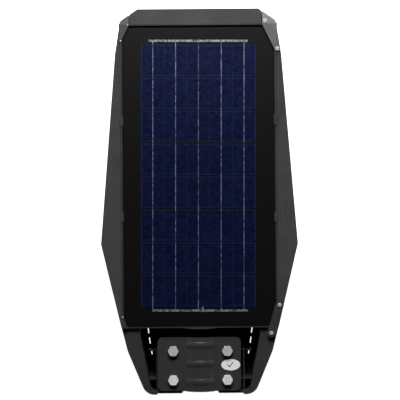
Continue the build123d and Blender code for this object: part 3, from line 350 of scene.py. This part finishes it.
def polycrystalline_silicon(name, dark, light, violet, rim):
    """Polycrystalline silicon, cast and sawn: angular blue grains, printed fingers and paler cut edges."""
    low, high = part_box("solar_cells")
    middle = (low + high) / 2
    string_turn = math.radians(0.44)
    half_width = 78.4 * MM
    side_rim = 1.6 * MM
    pitch = 44.9 * MM
    end_rim = 2.6 * MM
    ribbon_pitch = 31.1 * MM
    line_width = 0.6 * MM
    finger_pitch = 1.6 * MM
    finger_width = 0.5 * MM

    def links(tree, place):
        centred = add_node(
            tree, "ShaderNodeMapping", {"Vector": place, "Location": (-middle.x, -middle.y, 0.0)}
        )
        string = add_node(tree, "ShaderNodeMapping", {"Vector": centred, "Rotation": (0.0, 0.0, string_turn)})
        axes = add_node(tree, "ShaderNodeSeparateXYZ", {"Vector": string})
        across = axes.outputs["X"]
        along = axes.outputs["Y"]
        # Grains are 2 to 8 mm across, with bent edges.
        warp = add_node(tree, "ShaderNodeTexNoise", {"Vector": string, "Scale": 1 / (5 * MM), "Detail": 3.0})
        bent = add_node(
            tree, "ShaderNodeVectorMath",
            {0: warp.outputs["Color"], 1: (3 * MM, 3 * MM, 0.0), 2: string}, operation="MULTIPLY_ADD",
        )
        grains = add_node(
            tree, "ShaderNodeTexVoronoi", {"Vector": bent, "Scale": 1 / (4 * MM)}, distance="CHEBYCHEV"
        )
        grain = add_node(tree, "ShaderNodeSeparateColor", {"Color": grains.outputs["Color"]})
        broad = add_node(
            tree, "ShaderNodeTexNoise", {"Vector": string, "Scale": 1 / (30 * MM), "Detail": 2.0}
        )
        share = add_node(tree, "ShaderNodeMix", {"Factor": 0.45, "A": grain, "B": broad})
        tone = add_node(
            tree, "ShaderNodeValToRGB", {"Fac": share}, [(0.2, linear(dark)), (0.8, linear(light))]
        )
        # A quarter of the grains lean to violet.
        chosen = add_node(
            tree, "ShaderNodeMath", {0: grain.outputs["Green"], 1: 0.72}, operation="GREATER_THAN"
        )
        warm = add_node(
            tree, "ShaderNodeMix", {"Factor": chosen, "A": tone.outputs["Color"], "B": linear(violet)},
            data_type="RGBA",
        )
        # Paler rims along the cut edges.
        side = add_node(tree, "ShaderNodeMath", {0: across}, operation="ABSOLUTE")
        side = add_node(tree, "ShaderNodeMath", {0: side, 1: half_width - side_rim}, operation="GREATER_THAN")
        step = add_node(tree, "ShaderNodeMath", {0: along, 1: pitch / 2}, operation="PINGPONG")
        ends = add_node(tree, "ShaderNodeMath", {0: step, 1: end_rim}, operation="LESS_THAN")
        rims = add_node(tree, "ShaderNodeMath", {0: side, 1: ends}, operation="MAXIMUM")
        # A faint line runs half way between two ribbons, and printed fingers run across the cell. Real
        # fingers are 1.9 mm apart; they are drawn at 3.2 mm, which is as fine as the view can show.
        between = add_node(tree, "ShaderNodeMath", {0: across, 1: ribbon_pitch / 2}, operation="PINGPONG")
        line_start = ribbon_pitch / 2 - line_width
        line = add_node(tree, "ShaderNodeMath", {0: between, 1: line_start}, operation="GREATER_THAN")
        comb = add_node(tree, "ShaderNodeMath", {0: along, 1: finger_pitch}, operation="PINGPONG")
        finger = add_node(tree, "ShaderNodeMath", {0: comb, 1: finger_width}, operation="LESS_THAN")
        lift = add_node(tree, "ShaderNodeMath", {0: line, 1: 0.2}, operation="MULTIPLY")
        lift = add_node(tree, "ShaderNodeMath", {0: finger, 1: 0.12, 2: lift}, operation="MULTIPLY_ADD")
        lift = add_node(tree, "ShaderNodeMath", {0: rims, 1: 0.26, 2: lift}, operation="MULTIPLY_ADD")
        pale = add_node(
            tree, "ShaderNodeMix", {"Factor": lift, "A": warm.outputs["Result"], "B": linear(rim)},
            data_type="RGBA",
        )
        gloss = add_node(tree, "ShaderNodeMapRange", {"Value": grain, "To Min": 0.3, "To Max": 0.5})
        return {"Base Color": pale.outputs["Result"], "Roughness": gloss}
    return new_material(name, links, IOR=1.5, Specular_IOR_Level=0.12)


def tinned_copper(name, hex_text):
    """Tinned copper ribbon: dull bright metal with painted glints, short bright dashes between stretches
    darkened to a quarter.
    """
    def links(tree, place):
        drawn = add_node(tree, "ShaderNodeMapping", {"Vector": place, "Scale": (1.0, 0.6, 1.0)})
        ripple_and_painted_glint = add_node(tree, "ShaderNodeTexNoise", {"Vector": drawn, "Scale": 1 / (3 * MM), "Detail": 2.0})
        # The tone follows the same noise as the ripple: painted glints in dashes along the ribbon.
        tone = add_node(
            tree, "ShaderNodeValToRGB", {"Fac": ripple_and_painted_glint},
            [(0.4, linear(hex_text, 0.25)), (0.58, linear(hex_text))],
        )
        gloss = add_node(tree, "ShaderNodeMapRange", {"Value": ripple_and_painted_glint, "To Min": 0.5, "To Max": 0.3})
        normal = add_node(tree, "ShaderNodeBump", {"Height": ripple_and_painted_glint, "Distance": 0.1 * MM, "Strength": 0.6})
        return {"Base Color": tone, "Roughness": gloss, "Normal": normal}
    return new_material(name, links, Metallic=0.2)


def smooth_polymer(name, hex_text, rough, grain_mm=1.2, **values):
    """A polymer, moulded, drawn or painted on: even and smooth, with a slight drift of tone and gloss."""
    def links(tree, place):
        grain = add_node(
            tree, "ShaderNodeTexNoise", {"Vector": place, "Scale": 1 / (grain_mm * MM), "Detail": 2.0}
        )
        tone = add_node(
            tree, "ShaderNodeValToRGB", {"Fac": grain},
            [(0.3, linear(hex_text, 0.9)), (0.7, linear(hex_text, 1.05))],
        )
        gloss = add_node(
            tree, "ShaderNodeMapRange", {"Value": grain, "To Min": rough, "To Max": rough + 0.08}
        )
        normal = add_node(tree, "ShaderNodeBump", {"Height": grain, "Distance": 0.01 * MM, "Strength": 0.3})
        return {"Base Color": tone, "Roughness": gloss, "Normal": normal}
    return new_material(name, links, **values)


def faceted_polythene(name):
    """Moulded high-density polythene: milky, with the honeycomb of small lenses of a motion sensor."""
    def links(tree, place):
        cells = add_node(
            tree, "ShaderNodeTexVoronoi", {"Vector": place, "Scale": 1 / (3.4 * MM)},
            feature="DISTANCE_TO_EDGE",
        )
        tone = add_node(
            tree, "ShaderNodeValToRGB", {"Fac": cells}, [(0.0, linear("#b9bfc0")), (0.12, linear("#eceeee"))]
        )
        gloss = add_node(tree, "ShaderNodeMapRange", {"Value": cells, "To Min": 0.4, "To Max": 0.3})
        normal = add_node(tree, "ShaderNodeBump", {"Height": cells, "Distance": 0.6 * MM, "Strength": 0.5})
        return {"Base Color": tone, "Roughness": gloss, "Normal": normal}
    depth = (2 * MM, 2 * MM, 2 * MM)
    return new_material(name, links, IOR=1.54, Subsurface_Weight=0.3, Subsurface_Radius=depth)


def circuit_laminate(name):
    """Glass-epoxy laminate under green solder mask: satin green, with paler tracks showing through."""
    def links(tree, place):
        # A field between tracks is 4.5 mm by 2.3 mm.
        tracks = add_node(
            tree, "ShaderNodeTexBrick",
            {"Vector": place, "Scale": 110.0, "Mortar Size": 0.05, "Color1": linear("#0f4a26"),
             "Color2": linear("#12552c"), "Mortar": linear("#2f8a4e")},
        )
        grain = add_node(tree, "ShaderNodeTexNoise", {"Vector": place, "Scale": 1 / (1.5 * MM)})
        gloss = add_node(tree, "ShaderNodeMapRange", {"Value": grain, "To Min": 0.3, "To Max": 0.42})
        return {"Base Color": tracks, "Roughness": gloss}
    return new_material(name, links, IOR=1.5)


def light_table(name, hex_text):
    """Opal acrylic lit from behind: an even pale floor, which is why the drain slots look white."""
    def links(tree, place):
        cloud = add_node(tree, "ShaderNodeTexNoise", {"Vector": place, "Scale": 0.8})
        tone = add_node(
            tree, "ShaderNodeValToRGB", {"Fac": cloud},
            [(0.2, linear(hex_text, 0.99)), (0.8, linear(hex_text))],
        )
        return {"Emission Color": tone}
    return new_material(name, links, Roughness=0.9, Emission_Strength=1.0, Specular_IOR_Level=0.0)


# ---------------------------------------------------------------- operators
class LAMP_OT_stage(bpy.types.Operator):
    """Sets up the camera, the pale floor and the soft lights"""

    bl_idname = "lamp.stage"
    bl_label = "Camera, floor and lights"

    def execute(self, context):
        stage = settings("stage")
        data = bpy.data.cameras.new("camera")
        data.lens = stage.camera_lens
        data.sensor_width = 36.0
        camera = bpy.data.objects.new("camera", data)
        camera.location = stage.camera_place
        camera.rotation_euler = (0.0, 0.0, stage.camera_roll)
        context.scene.collection.objects.link(camera)
        context.scene.camera = camera
        context.scene.view_settings.view_transform = "Standard"
        floor_gap = 0.3 * MM
        deselect()
        bpy.ops.mesh.primitive_plane_add(size=8.0, location=(0.0, 0.2, cad_box[0].z - floor_gap))
        floor = bpy.context.object
        bpy.ops.object.transform_apply(location=True)
        floor.name = "floor"
        floor.data.materials.append(light_table("opal acrylic", settings("colours").floor))
        self.make_room(context, stage.room_light)
        middle = (0.0, 0.25, 0.0)
        self.add_light("key", (0.0, 1.15, 0.78), middle, (0.8, 0.4), stage.key_power)
        self.add_light("overhead", (0.0, 1.8, 1.5), (0.0, 0.2, 0.0), (0.7, 0.5), stage.top_power)
        for side in (-1, 1):
            self.add_light("side", (side * 1.2, 0.3, 0.5), middle, (0.8, 0.6), stage.side_power)
        return {"FINISHED"}

    def make_room(self, context, strength):
        """Studio room: pale walls under a dark ceiling."""
        world = bpy.data.worlds.new("studio")
        world.use_nodes = True
        context.scene.world = world
        tree = world.node_tree
        direction = add_node(tree, "ShaderNodeTexCoord").outputs["Generated"]
        axes = add_node(tree, "ShaderNodeSeparateXYZ", {"Vector": direction})
        tone = add_node(
            tree, "ShaderNodeValToRGB", {"Fac": axes.outputs["Z"]},
            [(0.0, (1.0, 1.0, 1.0, 1.0)), (0.3, (0.3, 0.3, 0.3, 1.0)), (0.6, (0.03, 0.03, 0.03, 1.0))],
        )
        background = tree.nodes["Background"]
        tree.links.new(tone.outputs["Color"], background.inputs["Color"])
        background.inputs["Strength"].default_value = strength

    def add_light(self, name, place, target, size, power):
        """Rectangular soft light of a width and height that faces a point."""
        data = bpy.data.lights.new(name, "AREA")
        data.shape = "RECTANGLE"
        data.size = size[0]
        data.size_y = size[1]
        data.energy = power
        light = bpy.data.objects.new(name, data)
        light.location = place
        light.rotation_euler = (Vector(target) - Vector(place)).to_track_quat("-Z", "Y").to_euler()
        bpy.context.scene.collection.objects.link(light)


class LAMP_OT_mouldings(bpy.types.Operator):
    """Builds the housing, rails, cap, corner pieces, tray and saddle with rounded edges"""

    bl_idname = "lamp.mouldings"
    bl_label = "Mouldings"

    def execute(self, context):
        edge = settings("sizes").moulding_edge
        colours = settings("colours")
        body = moulded_abs("spark-textured ABS", colours.abs_body, 0.5)
        facets = moulded_abs("flow-marked ABS", colours.abs_facets, 0.42, 1.0)
        # The two corners get lighter copies of the black ABS: painted sheen, lighter on the right.
        left_corner_painted_sheen = moulded_abs("left corner ABS, painted sheen", colours.abs_corner_left_painted_sheen, 0.4, 0.3)
        right_corner_painted_sheen = moulded_abs("right corner ABS, painted sheen", colours.abs_corner_right_painted_sheen, 0.4, 0.3)
        tub_edge = edge * 0.7
        for node in ("lower_housing", "panel_carrier", "pole_saddle"):
            softened(node, body, tub_edge)
        for node in ("side_rail_left", "side_rail_right", "corner_rear_left", "corner_rear_right"):
            softened(node, facets, edge)
        softened("front_cap", moulded_abs("end cap ABS", colours.abs_cap, 0.42, 0.6), edge)
        softened("corner_front_left", left_corner_painted_sheen, edge)
        softened("corner_front_right", right_corner_painted_sheen, edge)
        return {"FINISHED"}


class LAMP_OT_panel(bpy.types.Operator):
    """Finishes the solar panel: glass, cells, ribbons and backsheet"""

    bl_idname = "lamp.panel"
    bl_label = "Solar panel"

    def execute(self, context):
        colours = settings("colours")
        dress(solar_glass("tempered solar glass"), "panel_glass")
        silicon = polycrystalline_silicon(
            "polycrystalline silicon",
            colours.cell_dark, colours.cell_light, colours.cell_violet, colours.cell_rim,
        )
        dress(silicon, "solar_cells")
        dress(tinned_copper("tinned copper ribbon", colours.ribbon_tin), "cell_ribbons")
        dress(tinned_copper("solder-dipped copper bus", colours.bus_tin), "bus_ribbons")
        # Laminated polyester film: an even satin black behind the cells.
        film = smooth_polymer("black backsheet film", colours.backsheet, 0.5, 2.0, Specular_IOR_Level=0.2)
        dress(film, "panel_backsheet")
        return {"FINISHED"}


class LAMP_OT_clamp(bpy.types.Operator):
    """Builds the clamp plate, its bolts and nuts, and the label with its tick"""

    bl_idname = "lamp.clamp"
    bl_label = "Pole clamp"

    def execute(self, context):
        sizes = settings("sizes")
        colours = settings("colours")
        softened("clamp_plate", powder_coat("powder-coated steel", colours.coated_steel), sizes.plate_edge)
        zinc = zinc_plate("bright zinc plate", colours.zinc)
        dull_zinc = zinc_plate("dull zinc plate", colours.dull_zinc)
        for index in range(1, 5):
            name = f"clamp_bolt_{index}"
            at_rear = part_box(name)[1].y < 0.0
            softened(name, zinc if at_rear else dull_zinc, sizes.bolt_edge, 25.0)
        dress(zinc, "clamp_nuts")
        # Printed vinyl: satin white film with a flat dark ink on it.
        dress(smooth_polymer("white vinyl label", "#e6e6e4", 0.4), "inspection_sticker")
        ink = smooth_polymer("dark label ink", "#3a3a3c", 0.5)
        low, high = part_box("inspection_sticker")
        self.print_tick((low + high) / 2, high.z, sizes.tick_width, ink)
        return {"FINISHED"}

    def print_tick(self, centre, top, width, ink):
        """A plain tick printed on the label: a thin strip turned at its corner."""
        corner = Vector((centre.x - 1.2 * MM, centre.y - 2.6 * MM, top))
        short_stroke = Vector((-3.2, 3.2, 0.0)) * MM
        long_stroke = Vector((4.8, 5.6, 0.0)) * MM
        ink_height = 0.03 * MM
        deselect()
        bpy.ops.mesh.primitive_plane_add(size=width, location=corner)
        tick = bpy.context.object
        bpy.ops.object.transform_apply(location=True)
        bpy.ops.object.mode_set(mode="EDIT")
        for axis, stroke in enumerate((short_stroke, long_stroke)):
            self.pull_edge(tick, corner, axis, stroke, width)
        bpy.ops.mesh.select_all(action="SELECT")
        bpy.ops.mesh.extrude_region_move(TRANSFORM_OT_translate={"value": (0.0, 0.0, ink_height)})
        bpy.ops.mesh.select_all(action="SELECT")
        bpy.ops.mesh.normals_make_consistent(inside=False)
        bpy.ops.object.mode_set(mode="OBJECT")
        finish_piece(tick, "label_tick", ink, "clamp", "white_label")

    def pull_edge(self, tick, corner, axis, stroke, width):
        """Extrudes the left edge (axis 0) or the top edge (axis 1) of the first square."""
        bpy.ops.mesh.select_mode(type="EDGE")
        bpy.ops.mesh.select_all(action="DESELECT")
        bpy.ops.object.mode_set(mode="OBJECT")
        sign = -1 if axis == 0 else 1
        wanted = corner[axis] + sign * width / 2
        for edge in tick.data.edges:
            ends = [tick.data.vertices[index].co for index in edge.vertices]
            inside = all((end - corner).length < width for end in ends)
            edge.select = inside and all(abs(end[axis] - wanted) < 0.01 * MM for end in ends)
        bpy.ops.object.mode_set(mode="EDIT")
        bpy.ops.mesh.extrude_region_move(TRANSFORM_OT_translate={"value": stroke})


class LAMP_OT_fasteners(bpy.types.Operator):
    """Finishes the screws and rivets"""

    bl_idname = "lamp.fasteners"
    bl_label = "Screws and rivets"

    def execute(self, context):
        dress(
            zinc_plate("zinc-plated screw steel", settings("colours").screw_zinc),
            "corner_screws", "corner_rivets", "rail_screws", "lens_screws", "carrier_screws",
            "led_board_screws", "battery_screws", "board_screws", "switch_nut",
        )
        return {"FINISHED"}


class LAMP_OT_light_engine(bpy.types.Operator):
    """Builds the reflector cups and finishes the LEDs and the lens under the lamp"""

    bl_idname = "lamp.light_engine"
    bl_label = "LEDs and lens"

    def execute(self, context):
        # Moulded polycarbonate: the cover is clear and glossy, the tray an even satin white.
        dress(smooth_polymer("clear polycarbonate", "#e8eef0", 0.06, IOR=1.58, Alpha=0.2), "lens_cover")
        dress(smooth_polymer("white polycarbonate", "#e4e4e0", 0.3), "reflector_tray")
        # Screen-printed mask and cast phosphor: a flat off-white board with small yellow lights on it.
        dress(smooth_polymer("white solder mask", "#dcdcd8", 0.35), "led_board")
        dress(smooth_polymer("yellow phosphor", "#e6c53a", 0.3, 0.5), "led_chips")
        # Moulded silicone: dark grey and matt.
        dress(smooth_polymer("silicone seal", "#2b2c2e", 0.6), "lens_gasket")
        self.add_cups()
        return {"FINISHED"}

    def led_centres(self):
        """Middle of each LED, found from the corners of the LED solids."""
        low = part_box("led_chips")[0]
        reach = 9.5 * MM  # half the LEDs' spacing, and wider than an LED
        corners = {}
        for vertex in nodes["led_chips"].data.vertices:
            key = (round((vertex.co.x - low.x) / reach), round((vertex.co.y - low.y) / reach))
            corners.setdefault(key, []).append(vertex.co.copy())
        return [sum(places, Vector()) / len(places) for places in corners.values()]

    def add_cups(self):
        """One bright flared cup round each LED, modelled once and copied."""
        sizes = settings("sizes")
        low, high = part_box("reflector_tray")
        wall = 0.25 * MM
        foot = high.z - 0.2 * MM
        mouth = low.z - 0.05 * MM
        deselect()
        bpy.ops.mesh.primitive_cone_add(
            vertices=24, radius1=sizes.cup_mouth, radius2=sizes.cup_foot, depth=foot - mouth,
            end_fill_type="NOTHING", location=(0.0, 0.0, (foot + mouth) / 2),
        )
        cup = bpy.context.object
        bpy.ops.object.transform_apply(location=True)
        apply_modifier(cup, "SOLIDIFY", thickness=wall, offset=0.0)
        bpy.ops.object.shade_smooth_by_angle(angle=math.radians(50.0))
        cups = []
        for centre in self.led_centres():
            copy = cup.copy()
            copy.data = cup.data.copy()
            copy.location = (centre.x, centre.y, 0.0)
            bpy.context.scene.collection.objects.link(copy)
            cups.append(copy)
        make_active(*cups)
        bpy.ops.object.join()
        # Vacuum-metallised plastic: a bright mirror that is just soft enough to hide the LED's outline.
        chrome = smooth_polymer("vacuum-metallised cup", "#d9dadc", 0.12, Metallic=1.0)
        finish_piece(cups[0], "reflector_cups", chrome, "lamp", "white_plastic")
        make_active(cup)
        bpy.ops.object.delete()


class LAMP_OT_controls(bpy.types.Operator):
    """Finishes the motion sensor, the switch, the indicator and the breather"""

    bl_idname = "lamp.controls"
    bl_label = "Sensor and controls"

    def execute(self, context):
        dress(faceted_polythene("milky polythene"), "pir_dome")
        # Nickel plate on drawn steel: half matt, and warmer than zinc.
        dress(zinc_plate("nickel-plated can", "#b9b49c"), "pir_sensor")
        dress(moulded_abs("switch nylon", "#1f1f20", 0.45), "switch_body", "vent_plug")
        # Polished mould: a glossy red cap, and a clear pipe that shows the light behind it.
        dress(smooth_polymer("red button ABS", "#a51a18", 0.22), "button_cap")
        dress(smooth_polymer("clear light pipe", "#d9e4e0", 0.1, IOR=1.49, Alpha=0.5), "indicator_lens")
        return {"FINISHED"}


class LAMP_OT_inside(bpy.types.Operator):
    """Finishes what the housing holds: battery, controller, leads and foam"""

    bl_idname = "lamp.inside"
    bl_label = "Inside"

    def execute(self, context):
        # Shrunk sleeve: a tight glossy blue film on each cell.
        dress(smooth_polymer("blue shrink sleeve", "#1d4fa8", 0.3), "battery_cells")
        dress(moulded_abs("cradle ABS", "#202122", 0.5), "battery_cradle", "panel_junction_box")
        # Moulded rubber: black and matt.
        dress(smooth_polymer("strap rubber", "#1b1b1c", 0.6), "battery_straps")
        dress(circuit_laminate("glass-epoxy laminate"), "controller_board")
        # Transfer-moulded epoxy: dark satin packages.
        dress(smooth_polymer("moulded epoxy", "#18191a", 0.3), "controller_parts")
        # Extruded sleeve: smooth and satin along the lead.
        dress(smooth_polymer("red lead sleeve", "#9c1512", 0.35), "panel_lead")
        dress(smooth_polymer("black lead sleeve", "#171717", 0.35), "battery_lead")
        # Foamed rubber: fine-grained and quite matt.
        dress(smooth_polymer("closed-cell foam", "#151515", 0.85, 0.8), "panel_gasket")
        return {"FINISHED"}


class LAMP_PT_sidebar(bpy.types.Panel):
    """Lists the lamp's operators and settings"""

    bl_label = "Solar street lamp"
    bl_idname = "LAMP_PT_sidebar"
    bl_space_type = "VIEW_3D"
    bl_region_type = "UI"
    bl_category = "Lamp"

    def draw(self, context):
        for operator in operators:
            self.layout.operator(operator.bl_idname)
        for name in ("sizes", "colours", "stage"):
            for entry in settings(name).__annotations__:
                self.layout.prop(settings(name), entry)


groups = (LampSizes, LampColours, LampStage)
operators = (
    LAMP_OT_stage, LAMP_OT_mouldings, LAMP_OT_panel, LAMP_OT_clamp, LAMP_OT_fasteners,
    LAMP_OT_light_engine, LAMP_OT_controls, LAMP_OT_inside,
)


def register():
    """Registers every class and the scene's settings."""
    for item in groups + operators + (LAMP_PT_sidebar,):
        bpy.utils.register_class(item)
    bpy.types.Scene.lamp_sizes = PointerProperty(type=LampSizes)
    bpy.types.Scene.lamp_colours = PointerProperty(type=LampColours)
    bpy.types.Scene.lamp_stage = PointerProperty(type=LampStage)


def unregister():
    """Removes every class and the scene's settings."""
    del bpy.types.Scene.lamp_stage
    del bpy.types.Scene.lamp_colours
    del bpy.types.Scene.lamp_sizes
    for item in reversed(groups + operators + (LAMP_PT_sidebar,)):
        bpy.utils.unregister_class(item)


def main():
    """Builds the lamp step by step."""
    register()
    bpy.ops.lamp.stage()
    bpy.ops.lamp.mouldings()
    bpy.ops.lamp.panel()
    bpy.ops.lamp.clamp()
    bpy.ops.lamp.fasteners()
    bpy.ops.lamp.light_engine()
    bpy.ops.lamp.controls()
    bpy.ops.lamp.inside()


if __name__ == "__main__":
    main()
